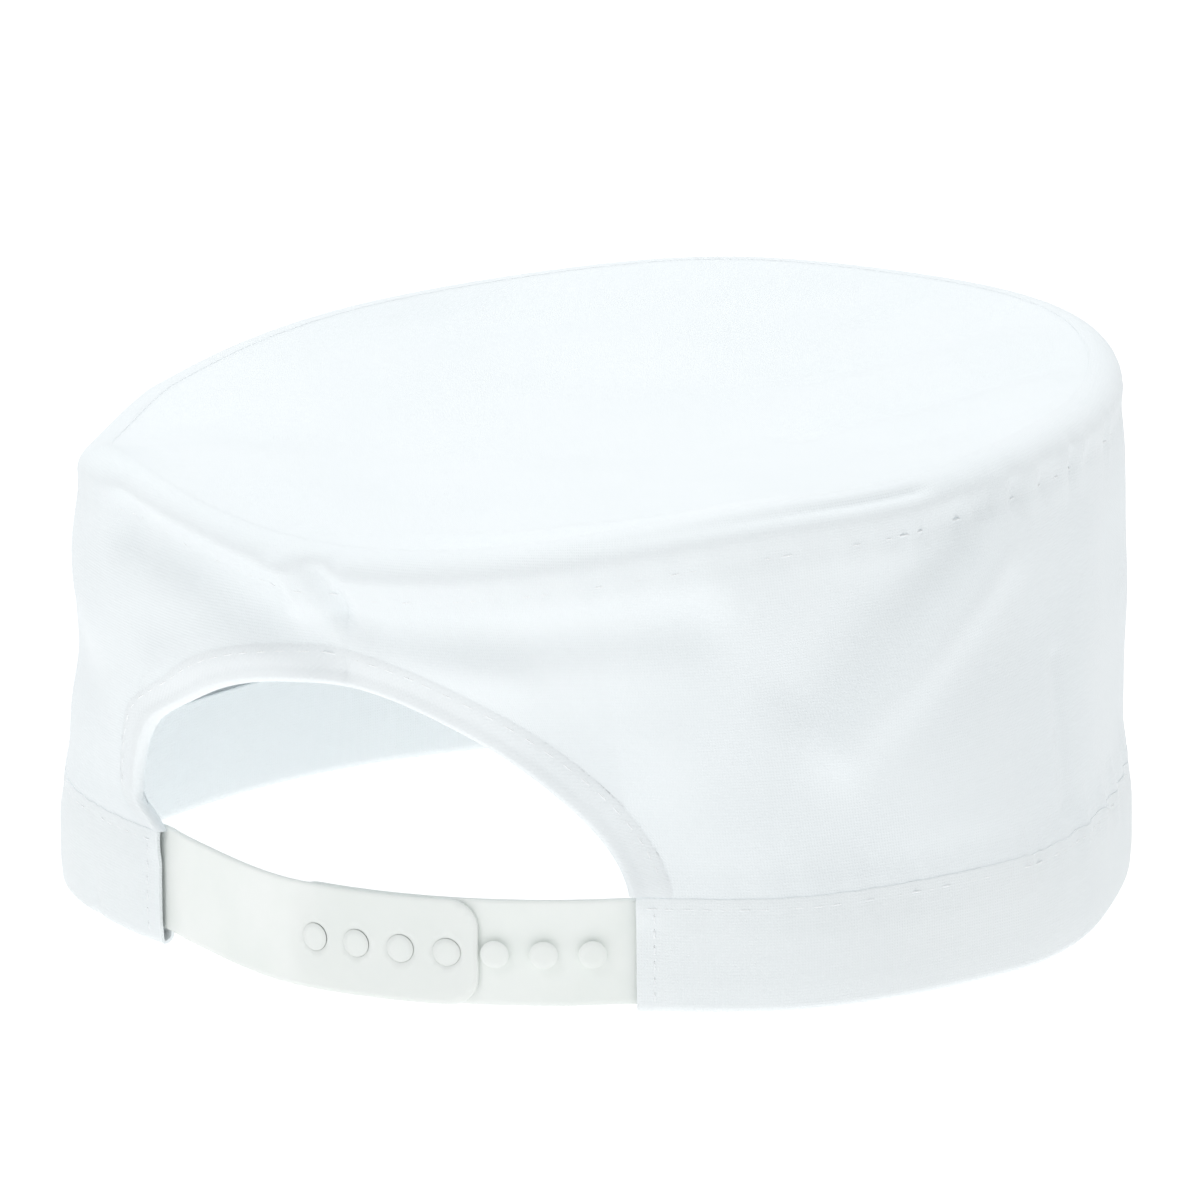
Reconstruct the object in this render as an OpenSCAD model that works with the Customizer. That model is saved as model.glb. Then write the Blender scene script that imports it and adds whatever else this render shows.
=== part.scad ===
// Chef's skull cap: a low round toque with a flat crown, a headband and a snap strap.
// Millimetres. +Z is up, +Y is the wearer's front and -Y the adjustable opening at the back.
// The origin is under the middle of the cap, on the plane of the headband's bottom edge.
// Outlines are ovals measured from the cap's widest line, then moved back to centre the cap.

/* [Cap] */
// Height of the rim at the sides and front
cap_h = 85.5; // [80:0.5:94]
// How much lower the rim lies at the middle of the back
rim_sag = 8; // [0:1:9]
// Radius of the soft roll where the wall turns over to the crown
rim_r = 5; // [4:0.5:6]
// How far the middle of the crown dips below its seam
crown_dish = 4; // [1:0.5:8]

/* [Headband outline] */
// Half the width across the headband
band_half_w = 90; // [86:1:96]
// Widest line to the front of the headband
band_front = 110; // [108:1:118]
// Widest line to the back of the headband
band_back = 68; // [66:1:76]
// Height of the headband
band_h = 19.8; // [19.8:0.2:22]
// Squareness of the front of both outlines, 2 is an ellipse
front_power = 2.2; // [2:0.05:2.4]

/* [Rim outline] */
// Half the width across the rim
rim_half_w = 83.5; // [80:0.5:86]
// Widest line to the front of the rim
rim_front = 126; // [118:1:128]
// Widest line to the back of the rim
rim_back = 78.5; // [76:0.5:82]

/* [Back opening] */
// Half the distance between the two ends of the headband
gap_half_w = 46; // [42:0.5:48]
// Height of the top of the arch above the headband's bottom edge
arch_top = 55; // [50:1:58]
// Width of the tape that binds the edge of the arch
binding_w = 5.5; // [4:0.5:6.5]
// Squareness of the arch's left shoulder, 2 is an ellipse
left_shoulder = 2.4; // [1.6:0.1:3]
// Squareness of the arch's right shoulder, 2 is an ellipse
right_shoulder = 1.6; // [1.6:0.1:3]

/* [Snap strap] */
// Height of both straps
strap_h = 18.2; // [16:0.2:18.2]
// Thickness of the strap plastic
strap_t = 0.8; // [0.6:0.1:0.8]
// How far the closed strap stands out behind the line between its two roots
strap_rise = 15.5; // [10:0.5:17]
// Distance between neighbouring pegs
peg_pitch = 8.1; // [7.6:0.1:8.4]
// Radius of a peg
peg_r = 1.5; // [1.3:0.1:1.6]
// Radius of a hole in the outer strap
hole_r = 2.2; // [2.1:0.1:2.4]

/* [Hidden] */
$fn = 48;

// Layers of the cap, as depths inward from the outermost outline
leaf_t = 0.6;                          // one leaf of the folded headband or of the binding tape
cloth_t = 0.8;                         // wall and crown cloth with its lining
layer_gap = 0.15;                      // air between neighbouring layers
wall_in = leaf_t + layer_gap;          // outer face of the wall
core_in = wall_in + cloth_t + layer_gap;
core_t = 0.8;                          // interfacing, and each strap's sewn tab
inner_leaf_in = core_in + core_t + layer_gap;
band_t = inner_leaf_in + leaf_t;
outline_shift = (rim_back - rim_front) / 2;

// Heights
wall_foot_z = 8;                       // raw lower edge of the wall, inside the folded headband
wall_start_z = band_h + 0.1;
arch_foot_z = band_h + 0.2;
arch_h = arch_top - arch_foot_z;
strap_z = 1;
core_top_z = band_h - 1.4;

// Sampling of the swept cloth
front_steps = 60;
arch_steps = 20;
roll_steps = 6;
roll_end = 140;                        // the roll ends at the crown seam, degrees over the top
roll_in = wall_in + rim_r;             // depth of the roll's middle
crown_in = roll_in + rim_r - 0.1;      // edge of the crown panel, just inside the end of the roll
crown_mid_z = cap_h - rim_r + rim_r * sin(roll_end) - rim_sag / 4;
crown_steps = 72;
turn_gap = 0.5;                        // air around cloth that is turned in
seam_dip = 0.8;                        // edge of the crown panel below the end of the roll
sag_reach = 60;                        // the rim sags within this angle of the middle of the back
crown_allowance = 10;                  // crown cloth turned down inside the wall
label_z = 3;
label_h = 14;

// Snap strap layout
tab_len = 12;                          // strap length sewn inside the headband
hinge_out = 1.2;                       // bend line beyond the end of the headband
knuckle_r = 0.5;
strap_step = 1.1;                      // radial distance between the middles of the two straps
peg_count = 7;
hole_count = 4;
first_peg = -7.7;                      // arc length from the middle of the back
strap_end_margin = 5.4;                // strap beyond its last hole or peg
peg_stand = 1.7;                       // peg length above the strap's face

// Thread
thread_t = 0.35;
thread_lift = 0.1;
stitch_share = 0.7;                    // part of each pitch that shows on top
crown_stitches = 168;
crown_stitch_drop = 8;                 // below the rim
band_stitches = 144;
band_stitch_drop = 1.8;                // below the headband's top edge
arch_stitches = 34;
strap_stitches = 5;
strap_stitch_in = 3;                   // from the end of the headband

function mix(a, b, w) = a + (b - a) * w;

function signed_pow(v, e) = sign(v) * pow(abs(v), e);

// Point on an egg-shaped oval at angle t, moved inward by depth
function oval(half_w, front, back, t, depth) =
    let (
        forward = sin(t) >= 0,
        reach = forward ? front : back,
        e = forward ? 2 / front_power : 1,
        n = [signed_pow(cos(t), 2 - e) / half_w, signed_pow(sin(t), 2 - e) / reach]
    )
    [half_w * signed_pow(cos(t), e), reach * signed_pow(sin(t), e)] - depth * n / norm(n);

// Height of the rim at angle t, which sags around the back at t = -90 or 270
function rim_z(t) =
    let (off_back = min(abs(t - 270), abs(t + 90)))
    cap_h - (off_back < sag_reach ? rim_sag * (1 + cos(180 * off_back / sag_reach)) / 2 : 0);

// The wall leans evenly from the headband outline to the rim outline
function lean(z, t) = max(0, min(1, (z - wall_start_z) / (rim_z(t) - rim_r - wall_start_z)));

function wall_point(t, z, depth) =
    let (
        w = lean(z, t),
        p = oval(mix(band_half_w, rim_half_w, w), mix(band_front, rim_front, w),
                 mix(band_back, rim_back, w), t, depth)
    )
    [p[0], p[1], z];

// Angle of the back wall's point at sideways position x and height z
function back_angle(x, z) =
    -acos(x / mix(band_half_w, rim_half_w, lean(z, -90)));

function back_point(p, depth) = wall_point(back_angle(p[0], p[1]), p[1], depth);

// The arch in the plane of x and z: a is -90 at its left foot, 0 at its top, 90 at its right foot
function shoulder(a) = a < 0 ? left_shoulder : right_shoulder;
function arch_point(a) =
    let (e = 2 / shoulder(a))
    [gap_half_w * signed_pow(sin(a), e), arch_foot_z + arch_h * pow(abs(cos(a)), e)];
function arch_normal(a) =
    let (
        e = 2 - 2 / shoulder(a),
        n = [signed_pow(sin(a), e) / gap_half_w, pow(abs(cos(a)), e) / arch_h]
    )
    n / norm(n);

// Angles around the headband, from its right end over the front to its left end
function band_end_angle(x) = -acos(x / band_half_w);
function band_angles(end_x, steps) =
    let (from = band_end_angle(end_x), to = 180 - from)
    [for (i = [0:steps]) mix(from, to, i / steps)];

// Closed or open run of equal cross-sections joined into one skin
module skin(sections, closed) {
    m = len(sections[0]);
    n = len(sections);
    spans = closed ? n : n - 1;
    points = [for (s = sections) for (p = s) p];
    sides = [
        for (i = [0:spans - 1]) for (j = [0:m - 1])
            let (i2 = (i + 1) % n, j2 = (j + 1) % m)
            each [[i * m + j, i * m + j2, i2 * m + j2], [i * m + j, i2 * m + j2, i2 * m + j]]
    ];
    caps = closed ? [] : [[for (j = [m - 1:-1:0]) j], [for (j = [0:m - 1]) (n - 1) * m + j]];
    polyhedron(points, concat(sides, caps), convexity = 8);
}

module centred() {
    translate([0, outline_shift, 0]) children();
}

// Flat strip standing on edge that follows the headband outline between two depths
module band_strip(angles, depth_a, depth_b, z0, z1) {
    outer = [for (t = angles) oval(band_half_w, band_front, band_back, t, depth_a)];
    inner = [for (i = [len(angles) - 1:-1:0])
        oval(band_half_w, band_front, band_back, angles[i], depth_b)];
    translate([0, 0, z0])
        linear_extrude(z1 - z0)
            polygon(concat(outer, inner));
}

// --- Cloth -------------------------------------------------------------------------------

// One face of the wall at angle t, from its lower edge up and over the roll to the crown seam
function wall_face(t, foot_z, depth) =
    let (
        centre_z = rim_z(t) - rim_r,
        first_z = max(wall_start_z, foot_z + 1),
        roll = rim_r - (depth - wall_in)
    )
    concat(
        [wall_point(t, foot_z, depth)],
        [for (w = [0:0.25:0.75]) wall_point(t, mix(first_z, centre_z, w), depth)],
        [for (i = [0:roll_steps])
            let (
                a = roll_end * i / roll_steps,
                p = wall_point(t, centre_z, roll_in - roll * cos(a))
            )
            [p[0], p[1], centre_z + roll * sin(a)]]
    );

function reversed(list) = [for (i = [len(list) - 1:-1:0]) list[i]];

function wall_section(t, foot_z) =
    concat(wall_face(t, foot_z, wall_in), reversed(wall_face(t, foot_z, wall_in + cloth_t)));

module side_wall() {
    inside_band = gap_half_w + 1.3;
    around_front = [for (t = band_angles(inside_band, front_steps)) wall_section(t, wall_foot_z)];
    over_arch = [
        for (i = [0:arch_steps])
            let (p = arch_point(mix(-90, 90, i / arch_steps)), t = back_angle(p[0], p[1]))
            wall_section(t, p[1])
    ];
    color("whitesmoke")
        centred()
            skin(concat(around_front, over_arch), true);
}

// Crown cloth: a dished panel whose edge dips at the seam and runs down inside the wall
function crown_face(t, depth) =
    let (
        centre_z = rim_z(t) - rim_r,
        seam_z = centre_z + rim_r * sin(roll_end) - seam_dip - depth,
        roll = rim_r - cloth_t - turn_gap - depth,
        edge = wall_point(t, centre_z, crown_in + depth)
    )
    concat(
        [for (q = [0.25, 0.5, 0.75, 0.9, 1])
            [edge[0] * q, edge[1] * q, mix(crown_mid_z - depth, seam_z, q) - crown_dish * (1 - q * q)]],
        [for (a = [roll_end:-roll_end / 4:0])
            let (p = wall_point(t, centre_z, roll_in - roll * cos(a)))
            [p[0], p[1], centre_z + roll * sin(a)]],
        [wall_point(t, rim_z(t) - crown_allowance, roll_in - roll)]
    );

module crown_top() {
    sections = [for (i = [0:crown_steps - 1])
        let (t = 360 * i / crown_steps - 90)
        concat(reversed(crown_face(t, 0)), crown_face(t, cloth_t))];
    m = len(sections[0]);
    top = m / 2 - 1;
    middle_z = crown_mid_z - crown_dish;
    middles = [[0, 0, middle_z], [0, 0, middle_z - cloth_t]];
    points = concat([for (s = sections) for (p = s) p], middles);
    rows = concat([for (j = [0:top - 1]) j], [for (j = [top + 1:m - 2]) j], [m - 1]);
    sides = [
        for (i = [0:crown_steps - 1]) for (j = rows)
            let (i2 = (i + 1) % crown_steps, j2 = (j + 1) % m)
            each [[i * m + j, i * m + j2, i2 * m + j2], [i * m + j, i2 * m + j2, i2 * m + j]]
    ];
    discs = [
        for (i = [0:crown_steps - 1])
            let (i2 = (i + 1) % crown_steps, up = crown_steps * m)
            each [[up, i2 * m + top, i * m + top], [up + 1, i * m + top + 1, i2 * m + top + 1]]
    ];
    color("white")
        centred()
            polyhedron(points, concat(sides, discs), convexity = 8);
}

// The wall strip's two ends, turned in and pressed open behind the back seam
module back_seam_allowance() {
    foot_z = arch_top + binding_w + 1;
    head_z = rim_z(-90) - crown_allowance - 1;
    color("whitesmoke")
        centred()
            for (side = [-1, 1])
                skin([for (x = [0.2, 3.5, 7])
                    let (
                        d = wall_in + cloth_t + turn_gap,
                        a = back_angle(side * (side < 0 ? 7.2 - x : x), head_z)
                    )
                    [wall_point(a, foot_z, d), wall_point(a, head_z, d),
                     wall_point(a, head_z, d + leaf_t), wall_point(a, foot_z, d + leaf_t)]], false);
}

// Folded strip: two leaves joined by a fold along the bottom, with a slot for everything sewn in it
module headband() {
    angles = band_angles(gap_half_w, front_steps);
    slot_angles = band_angles(gap_half_w - 1, front_steps);
    color("white")
        centred()
            difference() {
                band_strip(angles, 0, band_t, 0, band_h);
                band_strip(slot_angles, leaf_t, inner_leaf_in, leaf_t, band_h + 1);
            }
}

module band_interfacing() {
    color("gainsboro")
        centred()
            band_strip(band_angles(gap_half_w + tab_len + 3, front_steps),
                       core_in, core_in + core_t, leaf_t + layer_gap, core_top_z);
}

// Bias tape folded over the raw edge of the arch
module arch_binding() {
    back_leaf_in = wall_in + cloth_t + layer_gap;
    sections = [
        for (i = [0:arch_steps])
            let (
                a = mix(-90, 90, i / arch_steps),
                edge = arch_point(a),
                n = arch_normal(a),
                fold = edge - (leaf_t + layer_gap) * n,
                inside = edge - layer_gap * n,
                far = edge + binding_w * n
            )
            [back_point(fold, 0), back_point(far, 0),
             back_point(far, leaf_t), back_point(inside, leaf_t),
             back_point(inside, back_leaf_in), back_point(far, back_leaf_in),
             back_point(far, back_leaf_in + leaf_t), back_point(fold, back_leaf_in + leaf_t)]
    ];
    color("white")
        centred()
            skin(sections, false);
}

// Blank label on the inside of the headband, at the front
module care_label() {
    color("ghostwhite")
        centred()
            band_strip([for (i = [0:4]) 84 + 3 * i], band_t + layer_gap, band_t + 2 * layer_gap + 0.15,
                       label_z, label_z + label_h);
}

// --- Snap strap ---------------------------------------------------------------------------

root_angle = band_end_angle(gap_half_w);
root_point = oval(band_half_w, band_front, band_back, root_angle, core_in + core_t / 2);
root_next = oval(band_half_w, band_front, band_back, root_angle - 1, core_in + core_t / 2);
mm_per_degree = norm(root_next - root_point);
hinge = root_point + hinge_out * (root_next - root_point) / mm_per_degree;

// The two straps share one centre: the outer one's arc starts at the left bend line, the inner
// one's at the right bend line
outer_r = (hinge[0] * hinge[0] + strap_rise * strap_rise) / (2 * strap_rise);
inner_r = outer_r - strap_step;
strap_centre_x = strap_step * (2 * outer_r - strap_step) / (4 * hinge[0]);
strap_centre_y = hinge[1] + sqrt(pow(outer_r, 2) - pow(hinge[0] + strap_centre_x, 2));
left_end = -asin((hinge[0] + strap_centre_x) / outer_r);
right_end = asin((hinge[0] - strap_centre_x) / inner_r);

function peg_angle(i) = (first_peg + i * peg_pitch) / outer_r * 180 / PI;
function margin_angle(mm) = mm / outer_r * 180 / PI;

// Places a child whose +X points straight out of the strap, a degrees from the back
module on_strap(a) {
    translate([strap_centre_x, strap_centre_y, 0])
        rotate([0, 0, a - 90])
            children();
}

module strap_arc(r, from, to) {
    translate([strap_centre_x, strap_centre_y, strap_z])
        intersection() {
            difference() {
                cylinder(h = strap_h, r = r + strap_t / 2);
                translate([0, 0, -1])
                    cylinder(h = strap_h + 2, r = r - strap_t / 2);
            }
            translate([0, 0, -1])
                linear_extrude(strap_h + 2)
                    polygon([[0, 0], for (a = [from, (from + to) / 2, to]) 2 * r * [sin(a), -cos(a)]]);
        }
}

module radial_cylinder(a, r_from, length, radius) {
    on_strap(a)
        translate([r_from, 0, strap_z + strap_h / 2])
            rotate([0, 90, 0])
                cylinder(h = length, r = radius);
}

module knuckle(side) {
    translate([side * hinge[0], hinge[1], strap_z])
        cylinder(h = strap_h, r = knuckle_r);
}

module strap_tab(side) {
    reach = (hinge_out - knuckle_r - layer_gap) / mm_per_degree;
    from = root_angle - reach;
    to = root_angle + tab_len / mm_per_degree;
    angles = [for (w = [0:0.25:1]) mix(from, to, w)];
    centred()
        band_strip(side > 0 ? angles : [for (i = [4:-1:0]) 180 - angles[i]],
                   core_in, core_in + core_t, strap_z, strap_z + strap_h);
}

module hole_strap_tab() {
    color("ivory") strap_tab(-1);
}

module peg_strap_tab() {
    color("ivory") strap_tab(1);
}

module hole_strap() {
    tip = peg_angle(hole_count - 1) + margin_angle(strap_end_margin);
    color("ivory")
        centred()
            union() {
                difference() {
                    strap_arc(outer_r, left_end, tip);
                    for (i = [0:hole_count - 1])
                        radial_cylinder(peg_angle(i), outer_r - 1, 2, hole_r);
                }
                knuckle(-1);
            }
}

module peg_strap() {
    tip = peg_angle(0) - margin_angle(strap_end_margin);
    color("ivory")
        centred()
            union() {
                strap_arc(inner_r, tip, right_end);
                knuckle(1);
                for (i = [0:peg_count - 1])
                    radial_cylinder(peg_angle(i), inner_r, strap_t / 2 + peg_stand, peg_r);
            }
}

// --- Thread -------------------------------------------------------------------------------

thread_in = -thread_lift - thread_t / 2;

// One visible stitch that starts at p and points towards q
module stitch(p, q) {
    run = q - p;
    translate(p)
        rotate([0, -asin(run[2] / norm(run)), atan2(run[1], run[0])])
            translate([0, -thread_t / 2, -thread_t / 2])
                cube([norm(run) * stitch_share, thread_t, thread_t]);
}

module stitch_row(points) {
    color("snow")
        centred()
            for (i = [0:len(points) - 2])
                stitch(points[i], points[i + 1]);
}

module crown_topstitch() {
    stitch_row([for (i = [0:crown_stitches])
        let (t = 360 * i / crown_stitches - 90)
        wall_point(t, rim_z(t) - crown_stitch_drop, wall_in + thread_in)]);
}

module band_topstitch() {
    stitch_row([for (t = band_angles(gap_half_w + 2, band_stitches))
        let (p = oval(band_half_w, band_front, band_back, t, thread_in))
        [p[0], p[1], band_h - band_stitch_drop]]);
}

module arch_topstitch() {
    stitch_row([for (i = [0:arch_stitches])
        let (a = mix(-84, 84, i / arch_stitches))
        back_point(arch_point(a) + (binding_w - 1.5) * arch_normal(a), thread_in)]);
}

// Upright row that holds a strap's tab in the end of the headband
module strap_stitch(side) {
    t = root_angle + strap_stitch_in / mm_per_degree;
    p = oval(band_half_w, band_front, band_back, t, thread_in);
    stitch_row([for (i = [0:strap_stitches])
        [side * p[0], p[1], mix(1.5, band_h - 3, i / strap_stitches)]]);
}

module hole_strap_stitch() {
    strap_stitch(-1);
}

module peg_strap_stitch() {
    strap_stitch(1);
}

crown_top();
side_wall();
back_seam_allowance();
headband();
band_interfacing();
arch_binding();
care_label();
hole_strap_tab();
hole_strap();
peg_strap_tab();
peg_strap();
crown_topstitch();
band_topstitch();
arch_topstitch();
hole_strap_stitch();
peg_strap_stitch();
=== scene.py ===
"""Looks of a chef's skull cap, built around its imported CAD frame.

Lengths in this script are millimetres in the cap's own frame, and become metres when a mesh is
made. Angles run around the cap in degrees: 0 is the wearer's right, 90 the front and -90 the
middle of the back.
"""
import math

import bmesh
import bpy
import numpy as np
from mathutils import Matrix, Vector
from mathutils.geometry import delaunay_2d_cdt


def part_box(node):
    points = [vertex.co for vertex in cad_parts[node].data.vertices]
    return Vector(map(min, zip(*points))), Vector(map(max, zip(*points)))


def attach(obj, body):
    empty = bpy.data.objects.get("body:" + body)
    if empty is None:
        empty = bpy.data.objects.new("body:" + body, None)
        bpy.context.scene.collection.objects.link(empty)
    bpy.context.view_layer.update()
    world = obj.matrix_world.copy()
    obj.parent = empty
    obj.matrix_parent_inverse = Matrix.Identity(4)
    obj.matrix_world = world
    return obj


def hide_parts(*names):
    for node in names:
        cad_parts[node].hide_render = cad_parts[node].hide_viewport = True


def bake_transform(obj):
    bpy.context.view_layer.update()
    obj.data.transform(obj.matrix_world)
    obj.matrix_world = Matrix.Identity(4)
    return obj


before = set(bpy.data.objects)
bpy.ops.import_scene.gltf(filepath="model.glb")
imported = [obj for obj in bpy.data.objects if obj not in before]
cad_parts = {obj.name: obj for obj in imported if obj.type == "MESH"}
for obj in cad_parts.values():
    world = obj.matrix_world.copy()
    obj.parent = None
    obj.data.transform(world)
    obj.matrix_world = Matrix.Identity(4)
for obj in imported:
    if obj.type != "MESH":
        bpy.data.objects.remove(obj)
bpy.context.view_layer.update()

MM = 0.001


def corners(node):
    """Low and high corner of a CAD node's box."""
    low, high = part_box(node)
    return np.array(low) / MM, np.array(high) / MM


# --- Sizes -----------------------------------------------------------------------------------

_, BAND_HIGH = corners("headband")
WALL_LOW, WALL_HIGH = corners("side_wall")
LABEL_LOW, LABEL_HIGH = corners("care_label")
STRAP_LOW, STRAP_HIGH = corners("hole_strap")

WIDEST_Y = -23.75                    # the ovals are measured from the cap's widest line
LEAF_T = 0.6                         # one leaf of the headband or of the binding tape
CLOTH_T = 0.8                        # wall cloth
CROWN_T = 0.6
WALL_IN = 0.75                       # depth of the wall's outer face behind the outline
CORE_MIDDLE = 2.1                    # depth of the middle of the interfacing and strap tabs
BAND_T = 3.25                        # folded headband with its interfacing
FRONT_POWER = 2.2                    # squareness of the front half of both ovals
RIM_SAG = 8                          # how much lower the rim lies at the middle of the back
SAG_REACH = 60
RIM_R = 5
SOFT_ROLL_END = math.radians(99)    # the roll runs flush into the crown for most of the way,
DEEP_ROLL_END = math.radians(142)    # and turns down into a groove at the back, on the right
ROLL_IN = WALL_IN + RIM_R
CROWN_DISH = 2                       # how much the crown's middle sinks, beside the edge drop
EDGE_DROP = 0.9                      # the crown first falls a little as it leaves the roll
EDGE_SHARE = 0.09                    # over this share of the way to its middle
SEAM_DIP = 0.02
CROWN_ALLOWANCE = 10                 # crown cloth turned down past the seam
TOPSTITCH_DROP = 8                   # crown topstitch below the rim
BAND_STITCH_DROP = 1.8               # band topstitch below the headband's top edge

# Half width, reach to the front and reach to the back of each oval
BAND_OVAL = np.array([BAND_HIGH[0], BAND_HIGH[1] - WIDEST_Y, 68])
RIM_OVAL = np.array([83.5, WALL_HIGH[1] - WIDEST_Y + WALL_IN, WIDEST_Y - WALL_LOW[1] + WALL_IN])
RIM_HEIGHT = WALL_HIGH[2]
BAND_H = BAND_HIGH[2]
WALL_START = BAND_H + 0.1
CROWN_MID_Z = RIM_HEIGHT - RIM_R + RIM_R * math.sin(DEEP_ROLL_END) - RIM_SAG / 4

# Back opening
GAP_HALF_W = 46
ARCH_FOOT = BAND_H + 0.2
ARCH_TOP = 55
LEFT_SHOULDER = 2.4
RIGHT_SHOULDER = 1.6
TAPE_W = 5.5                         # binding tape on one face
TAPE_IN = 0.52                       # depth of the tape's outer face behind the outline
TAPE_RUN = 125                       # weave of the tape along the arch

# Snap strap
STRAP_BOTTOM = STRAP_LOW[2]
STRAP_H = STRAP_HIGH[2] - STRAP_LOW[2]
STRAP_T = 0.8
STRAP_RISE = 15.5
STRAP_STEP = 1.1                     # radial distance between the middles of the two straps
TAB_LEN = 12                         # strap inside the headband
HINGE_OUT = 1.2                      # bend line beyond the headband's end
PEG_PITCH = 8.1
FIRST_PEG = -7.7
PEG_COUNT = 7
HOLE_COUNT = 4
HOLE_R = 2.2
STRAP_MARGIN = 5.4                   # strap beyond its last hole or peg
TIP_R = 5.0
EDGE_ROUND = 0.28
LINE_STEP = 0.2                      # between neighbouring points of a strap's middle line

MM_PER_DEGREE = 1.45                 # along the back and sides of the headband
BAND_CUT_W = 41                      # headband cloth before it is folded


# --- Outlines --------------------------------------------------------------------------------

def mix(a, b, w):
    return a + (b - a) * w


def smooth(w):
    """0 below 0, 1 above 1, and a soft change between."""
    w = np.clip(w, 0, 1)
    return w * w * (3 - 2 * w)


def bell(offset, width):
    """Soft bump of height 1 where the offset is 0."""
    return np.exp(-(offset / width) ** 2)


def signed_power(v, e):
    return np.sign(v) * np.abs(v) ** e


def oval(size, t, depth):
    """Points at angles t on an egg-shaped oval, moved inward by depth, and outward directions."""
    half_w, front, back = np.moveaxis(np.asarray(size, float), -1, 0)
    c, s = np.cos(np.radians(t)), np.sin(np.radians(t))
    forward = s >= 0
    reach = np.where(forward, front, back)
    e = np.where(forward, 2 / FRONT_POWER, 1.0)
    outward = np.stack([signed_power(c, 2 - e) / half_w, signed_power(s, 2 - e) / reach], -1)
    outward /= np.linalg.norm(outward, axis=-1, keepdims=True)
    edge = np.stack([half_w * signed_power(c, e), reach * signed_power(s, e)], -1)
    return edge - np.asarray(depth, float)[..., None] * outward, outward


def even_angles(start, end, count):
    """Angles from start to end that are evenly spaced along the headband."""
    fine = np.linspace(start, end, 4000)
    points, _ = oval(BAND_OVAL, fine, 0)
    run = np.concatenate([[0], np.cumsum(np.linalg.norm(np.diff(points, axis=0), axis=1))])
    return np.interp(np.linspace(0, run[-1], count), run, fine), np.linspace(0, run[-1], count)


def off_angle(t, middle):
    """Degrees from a middle angle, from -180 to 180."""
    return (np.asarray(t, float) - middle + 180) % 360 - 180


def hump(t, middle, width):
    """Soft hump of height 1 around a middle angle."""
    return bell(off_angle(t, middle), width)


# Slack of the worn rim: middle angle, half width in degrees and rise
RIM_SLACK = [(-162, 23, -7.0), (36, 18, -2.0), (112, 20, 1.2)]


def rim_height(t):
    """Height of the rim's crest at angle t."""
    off_back = np.minimum(np.abs(off_angle(t, -90)), SAG_REACH)
    sag = RIM_SAG * (1 + np.cos(np.pi * off_back / SAG_REACH)) / 2
    return RIM_HEIGHT - sag + sum(rise * hump(t, middle, width) for middle, width, rise in RIM_SLACK)


def groove(t):
    """1 where the crown seam sits in a deep groove, at the back on the right, and 0 elsewhere."""
    return smooth((off_angle(t, -50) + 38) / 12) * smooth((24 - off_angle(t, -50)) / 8)


def roll_end(t):
    """How far round the soft roll the wall's cloth runs before it meets the crown."""
    return mix(SOFT_ROLL_END, DEEP_ROLL_END, groove(t))


def back_angle(x, z):
    """Angle of the back wall's point at sideways position x and height z."""
    lean = (z - WALL_START) / (rim_height(-90) - RIM_R - WALL_START)
    return -np.degrees(np.arccos(x / mix(BAND_OVAL[0], RIM_OVAL[0], np.clip(lean, 0, 1))))


def arch(a, out):
    """Angle and height of the back opening's edge, moved out by a distance.

    a is -90 at the left foot of the arch, 0 at its top and 90 at its right foot."""
    c, s = np.abs(np.cos(np.radians(a))), np.sin(np.radians(a))
    e = 2 / np.where(np.asarray(a) < 0, LEFT_SHOULDER, RIGHT_SHOULDER)
    height = ARCH_TOP - ARCH_FOOT
    x, z = GAP_HALF_W * signed_power(s, e), ARCH_FOOT + height * c ** e
    nx, nz = signed_power(s, 2 - e) / GAP_HALF_W, c ** (2 - e) / height
    length = np.hypot(nx, nz)
    x, z = x + out * nx / length, z + out * nz / length
    return back_angle(x, z), z


# --- Relief of the cloth -----------------------------------------------------------------------

def ripple(points, seed, wavelength, waves=9):
    """Smooth seeded unevenness of about 1, in space, with no direction."""
    rng = np.random.default_rng(seed)
    total = np.zeros(points.shape[:-1])
    for _ in range(waves):
        direction = rng.normal(size=3)
        direction /= np.linalg.norm(direction)
        length = wavelength * rng.uniform(0.7, 1.4)
        total += np.sin(points @ direction * 2 * np.pi / length + rng.uniform(0, 2 * np.pi))
    return total / math.sqrt(waves)


def ripples(points, layers):
    """Sum of ripples, each given by its seed, wavelength and height."""
    return sum(height * ripple(points, seed, length) for seed, length, height in layers)


def pucker(t, seed, low, high, waves=7):
    """Seeded waves around the cap, from low to high crests in a full turn."""
    rng = np.random.default_rng(seed)
    total = np.zeros(np.shape(t))
    for _ in range(waves):
        crests = rng.integers(low, high)
        total += np.sin(np.radians(t) * crests + rng.uniform(0, 2 * np.pi))
    return total / math.sqrt(waves)


def path_distance(points, path):
    """Distance of each 2-D point from a path of points."""
    nearest = np.full(points.shape[:-1], np.inf)
    for a, b in zip(path[:-1], path[1:]):
        run = b - a
        along = np.clip(((points - a) @ run) / (run @ run), 0, 1)
        nearest = np.minimum(nearest, np.linalg.norm(points - a - along[..., None] * run, axis=-1))
    return nearest


def folds_relief(points, folds):
    """Height of a list of soft folds, each a path, a half width and a height."""
    total = np.zeros(points.shape[:-1])
    for path, width, height in folds:
        total += height * bell(path_distance(points, np.array(path, float)), width)
    return total


# Unevenness of the cloth: seed, wavelength and height
WALL_RIPPLES = [(3, 62, 0.42), (4, 24, 0.2)]
CROWN_RIPPLES = [(21, 70, 0.5), (22, 22, 0.12)]
BAND_RIPPLES = [(31, 48, 0.3)]

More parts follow.
